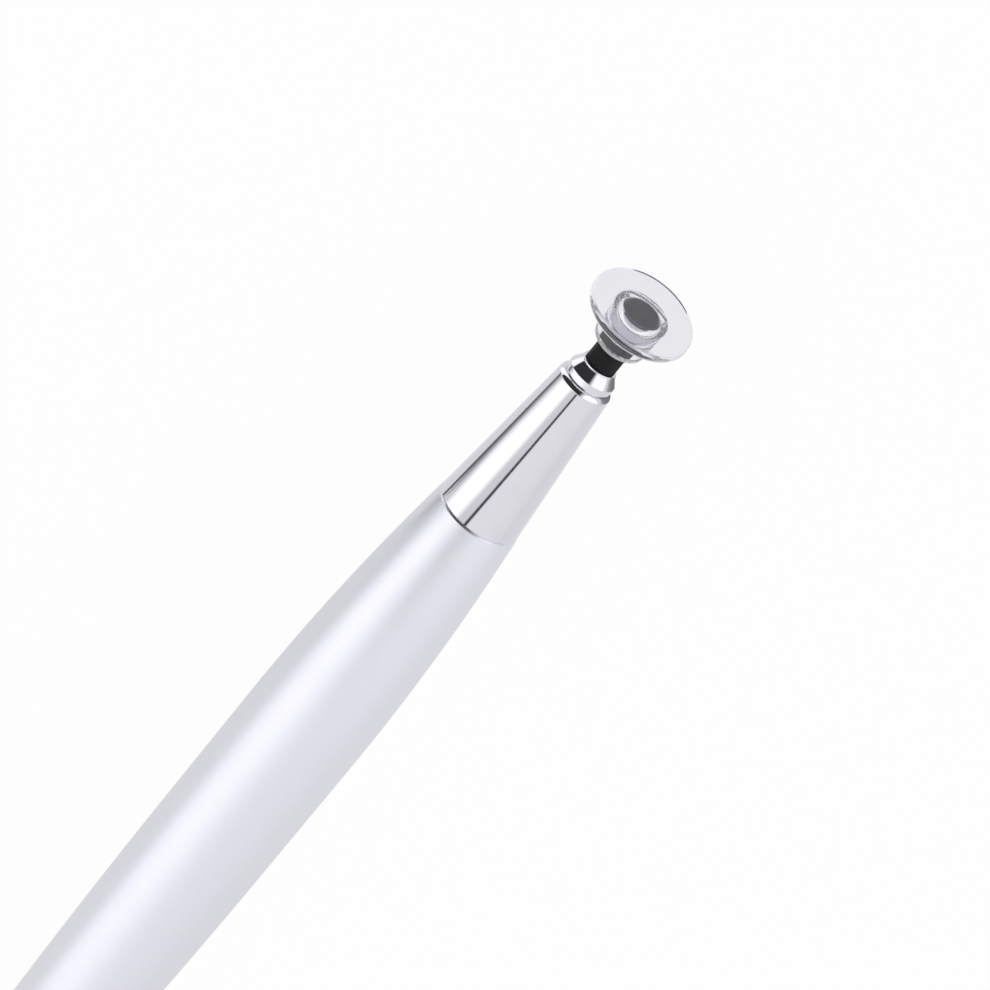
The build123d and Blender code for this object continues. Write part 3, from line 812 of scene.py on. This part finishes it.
# The clip is turned about the pen so that its lower edge lies as low as the grip.
clip_turn = radians(30.70281)
clip_root_x = -89.1
clip_thickness = 0.6
clip_root_width = 3.2
clip_root_depth = 2.1
clip_clearance = 0.2
cap_outline = ease([
    (cap_mouth_x, cap_front_bore), (liner_rear_x, cap_front_bore), (liner_rear_x, cap_bore),
    (cap_floor_x, cap_bore), (cap_floor_x, screw_hole), (cap_end_x, screw_hole),
    (cap_end_x, cap_end_radius, cap_end_round), (cap_mouth_x, cap_mouth_radius, cap_mouth_edge),
])
cap_tube = turn_piece("cap_tube", cap_outline, satin_silver, facets=160)
clip_out = Vector((0.0, cos(clip_turn), -sin(clip_turn)))
clip_side = Vector((0.0, sin(clip_turn), cos(clip_turn)))
slot_half = clip_root_width / 2 + clip_clearance
slot_low = clip_root_depth - clip_clearance
slot_past_end = 1
slot_corners = []
for x in (cap_end_x - slot_past_end, clip_root_x + clip_thickness + clip_clearance):
    for height in (slot_low, cap_mouth_radius):
        for side in (-slot_half, slot_half):
            slot_corners.append((Vector((x, 0.0, 0.0)) + clip_out * height + clip_side * side) * mm)
slot_faces = [(0, 1, 3, 2), (4, 6, 7, 5), (0, 4, 5, 1), (2, 3, 7, 6), (0, 2, 6, 4), (1, 5, 7, 3)]
slot_cutter = new_thing("slot_cutter", slot_corners, [], slot_faces)
slotting = cap_tube.modifiers.new("slot", "BOOLEAN")
slotting.operation = "DIFFERENCE"
slotting.solver = "EXACT"
slotting.object = slot_cutter
plain_mesh(cap_tube)
bpy.data.objects.remove(slot_cutter)
fit(cap_tube, "cap", "satin_aluminium", "cap_shell")

# Cap liner: a plastic tube bonded into the cap's mouth, which slides over the grip ring. It is
# extruded polypropylene.
liner_front_x = -34.6
liner_bore = 2.8
liner_radius = 3.1
liner_mouth_round = 0.1

# Polypropylene: milky white with a waxy gloss and faint flow lines 0.8 mm apart.
white_pp, tree = new_finish("white_polypropylene")
flow_size = 0.8
place = add_node(tree, "ShaderNodeTexCoord").outputs["Object"]
flow = noise(tree, place, flow_size, 2.0)
close_finish(tree, add_node(
    tree, "ShaderNodeBsdfPrincipled", {"IOR": 1.49},
    {"Base Color": tint(tree, "#DAD9D4", "#E4E3DE", flow), "Roughness": between(tree, 0.38, 0.5, flow)},
))
liner_outline = ease([
    (liner_front_x, liner_bore, liner_mouth_round), (liner_rear_x, liner_bore),
    (liner_rear_x, liner_radius), (liner_front_x, liner_radius),
])
cap_sleeve = turn_piece("cap_sleeve", liner_outline, white_pp, facets=96)
fit(cap_sleeve, "cap", "white_plastic", "cap_liner")

# Clip: one bent strip of spring steel, chromed, with its root in the cap's slot, a long arm
# that narrows, and a toe that dips to the cap and turns up again.
clip_height = 5.0
clip_drop = 0.5
clip_toe_length = 3.0
clip_toe_x = -54.1
clip_toe_height = 3.756
clip_toe_lift = 0.9
clip_bend = 0.7
clip_end_width = 2.2
clip_edge = 0.14

# The strip: a node tree that bends a path's corners, sweeps a flat section with eased edges
# along it, and narrows it towards the toe.
strip = bpy.data.node_groups.new("strip_along_path", "GeometryNodeTree")
strip_inputs = add_inputs(strip, {
    "Path": "NodeSocketGeometry", "Bend": "NodeSocketFloat", "Thickness": "NodeSocketFloat",
    "Root Width": "NodeSocketFloat", "Toe Width": "NodeSocketFloat", "Edge": "NodeSocketFloat",
    "Root X": "NodeSocketFloat", "Toe X": "NodeSocketFloat", "Finish": "NodeSocketMaterial",
})
sizes = add_node(strip, "NodeGroupInput")
spine = add_node(strip, "GeometryNodeMeshToCurve", links={0: sizes.outputs["Path"]})
bent = add_node(
    strip, "GeometryNodeFilletCurve", {"mode": "POLY", "Count": 10},
    {"Curve": spine.outputs["Curve"], "Radius": sizes.outputs["Bend"]},
)
flat = add_node(
    strip, "GeometryNodeCurvePrimitiveQuadrilateral",
    links={"Width": sizes.outputs["Thickness"], "Height": sizes.outputs["Root Width"]},
)
eased = add_node(
    strip, "GeometryNodeFilletCurve", {"mode": "POLY", "Count": 5},
    {"Curve": flat.outputs["Curve"], "Radius": sizes.outputs["Edge"]},
)
swept = add_node(
    strip, "GeometryNodeCurveToMesh", {"Fill Caps": True},
    {"Curve": bent.outputs["Curve"], "Profile Curve": eased.outputs["Curve"]},
)
swept_place = add_node(strip, "GeometryNodeInputPosition")
parts = add_node(strip, "ShaderNodeSeparateXYZ", links={0: swept_place.outputs[0]})
toe_share = add_node(
    strip, "ShaderNodeMath", {"operation": "DIVIDE"},
    {0: sizes.outputs["Toe Width"], 1: sizes.outputs["Root Width"]},
)
narrow = add_node(
    strip, "ShaderNodeMapRange", {"To Min": 1.0},
    {
        "Value": parts.outputs["X"], "From Min": sizes.outputs["Root X"],
        "From Max": sizes.outputs["Toe X"], "To Max": toe_share.outputs[0],
    },
)
sideways = add_node(
    strip, "ShaderNodeMath", {"operation": "MULTIPLY"}, {0: parts.outputs["Z"], 1: narrow.outputs[0]}
)
moved = add_node(
    strip, "ShaderNodeCombineXYZ",
    links={"X": parts.outputs["X"], "Y": parts.outputs["Y"], "Z": sideways.outputs[0]},
)
tapered = add_node(
    strip, "GeometryNodeSetPosition", links={"Geometry": swept.outputs["Mesh"], "Position": moved.outputs[0]}
)
close_tree(strip, tapered.outputs["Geometry"], sizes.outputs["Finish"])

half_thick = clip_thickness / 2
arm_end_x = clip_toe_x - clip_toe_length
toe_end_x = clip_toe_x + clip_toe_length
clip_path = [
    (clip_root_x + half_thick, clip_root_depth), (clip_root_x + half_thick, clip_height + half_thick),
    (arm_end_x, clip_height - clip_drop + half_thick), (clip_toe_x, clip_toe_height + half_thick),
    (toe_end_x, clip_toe_height + clip_toe_lift + half_thick),
]
path_points = [(x * mm, height * mm, 0.0) for x, height in clip_path]
path_edges = [(i, i + 1) for i in range(len(clip_path) - 1)]
spring_clip = new_thing("spring_clip", path_points, path_edges, [])
run_tree(spring_clip, strip, strip_inputs, {
    "Bend": (clip_bend + half_thick) * mm, "Thickness": clip_thickness * mm,
    "Root Width": clip_root_width * mm, "Toe Width": clip_end_width * mm, "Edge": clip_edge * mm,
    "Root X": clip_root_x * mm, "Toe X": toe_end_x * mm, "Finish": chrome,
})
clip_place = Matrix((
    (1.0, 0.0, 0.0, 0.0), (0.0, clip_out.y, clip_side.y, 0.0),
    (0.0, clip_out.z, clip_side.z, 0.0), (0.0, 0.0, 0.0, 1.0),
))
spring_clip.data.transform(clip_place)
fit(spring_clip, "clip", "bright_chrome", "clip")

# Finial: the bright domed end of the cap. It is brass, turned, polished and chromed, and is
# drawn on to the cap by a screw from inside.
finial_radius = 3.25
finial_rim_x = -90.7
finial_end_x = -92.6
finial_hole_x = -91.8
dome_steps = 20
dome_height = finial_rim_x - finial_end_x
dome_radius = (finial_radius ** 2 + dome_height ** 2) / (2 * dome_height)
dome_half = acos((dome_radius - dome_height) / dome_radius)
finial_outline = []
for step in range(dome_steps + 1):
    dome_turn = dome_half * step / dome_steps
    finial_outline.append((finial_end_x + dome_radius * (1 - cos(dome_turn)), dome_radius * sin(dome_turn)))
finial_outline += [
    (cap_end_x, finial_radius), (cap_end_x, screw_hole), (finial_hole_x, screw_hole), (finial_hole_x, 0.0),
]
domed_end = turn_piece("domed_end", finial_outline, chrome, facets=128)
fit(domed_end, "cap", "bright_chrome", "finial")

# Floor: a plain matt white table top that the pen lies on. It shows as white and keeps a
# faint shadow of the pen.
floor_gap = 0.02
floor_z = cad_low.z - floor_gap * mm
floor_half = 3.0
floor_corners = [
    (-floor_half, -floor_half, floor_z), (floor_half, -floor_half, floor_z),
    (floor_half, floor_half, floor_z), (-floor_half, floor_half, floor_z),
]
table_top = new_thing("table_top", floor_corners, [], [(0, 1, 2, 3)])

# White laminate: matt, with a faint grain of 0.6 mm. What looks straight at it, or sees it in metal
# or through the clear tip, sees an even white. Metal shows it a little greyer.
white_table, tree = new_finish("white_table_laminate")
laminate_size = 0.6
white_share = 0.97
white_in_metal = 0.87
place = add_node(tree, "ShaderNodeTexCoord").outputs["Object"]
laminate = tint(tree, "#F5F5F5", "#F9F9F9", noise(tree, place, laminate_size, 2.0))
ray = add_node(tree, "ShaderNodeLightPath").outputs
seen = add_node(
    tree, "ShaderNodeMath", {"operation": "MAXIMUM"}, {0: ray["Is Camera Ray"], 1: ray["Is Glossy Ray"]}
)
seen_through = add_node(
    tree, "ShaderNodeMath", {"operation": "MAXIMUM"}, {0: seen.outputs[0], 1: ray["Is Transmission Ray"]}
)
glow_share = add_node(
    tree, "ShaderNodeMath", {"operation": "MULTIPLY", 1: white_share}, {0: seen_through.outputs[0]}
)
greyer = between(tree, 1.0, white_in_metal, ray["Is Glossy Ray"])
matt = add_node(tree, "ShaderNodeBsdfDiffuse", links={"Color": laminate})
glow = add_node(tree, "ShaderNodeEmission", {"Color": (1.0, 1.0, 1.0, 1.0)}, {"Strength": greyer})
close_finish(tree, add_node(
    tree, "ShaderNodeMixShader", links={0: glow_share.outputs[0], 1: matt.outputs[0], 2: glow.outputs[0]}
))
table_top.data.materials.append(white_table)

# Cards: painted reflections. Glowing sheets on the table beside the pen that the camera, shadows and bounce
# light don't see, so they are seen in the metal alone: a dark one and a long grey one, seen along the nose,
# a bright one, seen as the white side of the collar, and two that fade to dark at the collar's other end as
# painted shade.

# Painted reflection card: a glow, as strong as the shade given at the card's corners, that only reflections
# see.
painted_reflection_finish, tree = new_finish("painted_reflection_card")
shade = add_node(tree, "ShaderNodeAttribute", {"attribute_name": "shade"})
close_finish(tree, add_node(
    tree, "ShaderNodeEmission", {"Color": (1.0, 1.0, 1.0, 1.0)}, {"Strength": shade.outputs["Fac"]}
))
# Each card has four corners, and a shade for its first two corners and for its last two.
cards = {
    "card_along": ([(17.0, 17.0), (36.5, 17.0), (36.5, 36.0), (17.0, 36.0)], (0.18, 0.18)),
    "card_far": ([(13.0, 36.0), (30.0, 36.0), (-56.0, 400.0), (-112.0, 400.0)], (0.45, 0.65)),
    "painted_glow_card": ([(37.0, 8.0), (90.0, 8.0), (90.0, 60.0), (37.0, 60.0)], (1.3, 1.3)),
    # These two cards are painted shade of the table beside the pen, seen in the collar.
    "painted_shade_card": ([(37.0, -9.0), (46.0, -9.0), (46.0, -28.0), (37.0, -28.0)], (0.3, 0.9)),
    "painted_shade_near_card": ([(37.0, -2.5), (46.0, -2.5), (46.0, -9.0), (37.0, -9.0)], (0.2, 0.3)),
}
card_thickness = 0.01
card_z = floor_z + card_thickness * mm
for name, (corners, shades) in cards.items():
    card = new_thing(name, [(x * mm, y * mm, card_z) for x, y in corners], [], [(0, 1, 2, 3)])
    tones = card.data.attributes.new("shade", "FLOAT", "POINT")
    tones.data.foreach_set("value", [shades[0], shades[0], shades[1], shades[1]])
    card.data.materials.append(painted_reflection_finish)
    # Painted reflection: the card is hidden from the camera, bounce light, shadows and the clear tip.
    card.visible_camera = False
    card.visible_diffuse = False
    card.visible_transmission = False
    card.visible_shadow = False

# Studio: a white light tent round the pen, with a soft box on the +Y side and a plain wall on the
# other. It is stronger over the tapered front than over the grip, and has a dark slit over the
# nose. Ahead of the pen it is open to a dark room, but for a lit wall on the -Y side.
studio = bpy.data.worlds.new("light_tent")
bpy.context.scene.world = studio
studio.use_nodes = True
tree = studio.node_tree
tree.nodes.clear()
way = add_node(tree, "ShaderNodeTexCoord").outputs["Generated"]
axes = add_node(tree, "ShaderNodeSeparateXYZ", links={0: way}).outputs
angle = add_node(tree, "ShaderNodeMath", {"operation": "ARCTAN2"}, {0: axes["Y"], 1: axes["Z"]})
# The slit over the nose leans a little to +Y towards the seam.
slit_lean = 2.44
slit_shift = 0.61
lean = add_node(
    tree, "ShaderNodeMath", {"operation": "MULTIPLY_ADD", 1: slit_lean, 2: slit_shift}, {0: axes["X"]}
)
nose_angle = add_node(
    tree, "ShaderNodeMath", {"operation": "ADD"}, {0: angle.outputs[0], 1: lean.outputs[0]}
)
# Each wall's brightness, at angles in degrees about the pen's axis from +Z towards +Y.
brightest = 1.62
walls = {
    "grip": (angle, [
        (-180, 0.78), (-95, 0.84), (-80, 0.88), (-57, 0.90), (-37, 0.915), (-18, 0.96), (-9, 0.995),
        (0, 1.04), (9, 1.08), (18, 1.12), (28, 1.16), (40, 1.19), (60, 1.19), (70, 1.15), (80, 1.05),
        (88, 0.85), (96, 0.70), (106, 0.66), (180, 0.78),
    ]),
    "front": (angle, [
        (-180, 0.80), (-130, 0.80), (-106, 0.86), (-88, 0.91), (-68, 0.95), (-30, 0.965), (-14, 1.0),
        (-6, 1.1), (0, 1.22), (7, 1.37), (13, 1.52), (19, 1.62), (44, 1.6), (60, 1.5), (69, 1.42), (76, 1.2),
        (82, 1.03), (86, 0.85), (89, 0.66), (96, 0.66), (106, 0.70), (180, 0.80),
    ]),
    "nose": (nose_angle, [
        (-180, 0.80), (-130, 0.80), (-106, 0.86), (-88, 0.91), (-68, 0.95), (-30, 0.965), (-5, 0.97),
        (-3, 0.04), (2, 0.04), (4, 0.80), (19, 0.80), (28, 1.25), (38, 1.6), (54, 1.58), (62, 1.5),
        (69, 1.25), (75, 1.08), (79, 0.92), (82, 0.7), (96, 0.66), (106, 0.70), (180, 0.80),
    ]),
}
wall_light = {}
for name, (wall_angle, panels) in walls.items():
    turn_share = add_node(
        tree, "ShaderNodeMapRange", {"From Min": -pi, "From Max": pi}, {"Value": wall_angle.outputs[0]}
    )
    wall = add_node(tree, "ShaderNodeValToRGB", links={"Fac": turn_share.outputs[0]})
    stops = wall.color_ramp.elements
    while len(stops) < len(panels):
        stops.new(0.5)
    for stop, (degrees_round, brightness) in zip(stops, panels):
        stop.position = (degrees_round + 180) / 360
        stop.color = (brightness / brightest,) * 3 + (1.0,)
    wall_light[name] = wall.outputs["Color"]


def crossfade(tree, share, first, second):
    """A number that goes from the first to the second as a share goes from 0 to 1."""
    mix = add_node(tree, "ShaderNodeMix", {"data_type": "FLOAT"}, {0: share, 2: first, 3: second})
    return mix.outputs[0]


to_front = add_node(
    tree, "ShaderNodeMapRange", {"From Min": -0.48, "From Max": -0.4}, {"Value": axes["X"]}
)
over_nose = add_node(
    tree, "ShaderNodeMapRange", {"interpolation_type": "SMOOTHSTEP", "From Min": -0.34, "From Max": -0.318},
    {"Value": axes["X"]},
)
over_barrel = crossfade(tree, to_front.outputs[0], wall_light["grip"], wall_light["front"])
tent_share = crossfade(tree, over_nose.outputs[0], over_barrel, wall_light["nose"])
tent = add_node(tree, "ShaderNodeMath", {"operation": "MULTIPLY", 1: brightest}, {0: tent_share})
ahead = add_node(
    tree, "ShaderNodeMapRange", {"interpolation_type": "SMOOTHSTEP", "From Min": -0.14, "From Max": 0.0},
    {"Value": axes["X"]},
)
dark_room = add_node(
    tree, "ShaderNodeMapRange",
    {
        "interpolation_type": "SMOOTHSTEP", "From Min": -0.52, "From Max": -0.14,
        "To Min": 1.35, "To Max": 0.04,
    },
    {"Value": axes["Y"]},
)
room = crossfade(tree, ahead.outputs[0], tent.outputs[0], dark_room.outputs[0])
tent_light = add_node(tree, "ShaderNodeBackground", {"Color": (1.0, 1.0, 1.0, 1.0)}, {"Strength": room})
plain_white = add_node(tree, "ShaderNodeBackground", {"Color": (1.0, 1.0, 1.0, 1.0), "Strength": 1.0})
# The eye sees the studio as plain white, also through the clear tip.
ray = add_node(tree, "ShaderNodeLightPath").outputs
straight = add_node(
    tree, "ShaderNodeMath", {"operation": "MAXIMUM"},
    {0: ray["Is Camera Ray"], 1: ray["Is Transmission Ray"]},
)
sky = add_node(
    tree, "ShaderNodeMixShader",
    links={0: straight.outputs[0], 1: tent_light.outputs[0], 2: plain_white.outputs[0]},
)
add_node(tree, "ShaderNodeOutputWorld", links={"Surface": sky.outputs[0]})

# Camera: a long lens above the pen, turned so that the pen rises to the right with its tip
# towards the camera, as in the photograph. It stands where it sees the seam's centre, at its
# depth, on the seam's pixel.
picture_side = 990
focal_pixels = 5500.0
axis_lean = radians(27.5)
axis_rise = radians(50.6)
seam_pixel = (479.8, 511.3)
seam_depth = 359.3
toward = Vector((sin(axis_lean), 0.0, cos(axis_lean)))
along = Vector((cos(axis_lean), 0.0, -sin(axis_lean)))
rightward = along * cos(axis_rise) - Vector((0.0, 1.0, 0.0)) * sin(axis_rise)
upward = along * sin(axis_rise) + Vector((0.0, 1.0, 0.0)) * cos(axis_rise)
mm_per_pixel = seam_depth / focal_pixels
seam_right = (seam_pixel[0] - picture_side / 2) * mm_per_pixel
seam_up = (picture_side / 2 - seam_pixel[1]) * mm_per_pixel
stand = Vector((seam_x, 0.0, 0.0)) - rightward * seam_right - upward * seam_up + toward * seam_depth
facing = Matrix((rightward, upward, toward)).transposed().to_4x4()
lens = bpy.data.cameras.new("long_lens")
lens.sensor_width = 36.0
lens.lens = focal_pixels / picture_side * lens.sensor_width
lens.clip_start = 0.01
lens.clip_end = 20.0
camera = bpy.data.objects.new("long_lens", lens)
bpy.context.scene.collection.objects.link(camera)
camera.matrix_world = Matrix.Translation(stand * mm) @ facing
bpy.context.scene.camera = camera
bpy.context.scene.view_settings.view_transform = "Standard"
# Light runs round inside the clear tip many times before it leaves, so no bounce is cut short.
most_bounces = 32
bpy.context.scene.cycles.max_bounces = most_bounces
bpy.context.scene.cycles.glossy_bounces = most_bounces
bpy.context.scene.cycles.transmission_bounces = most_bounces
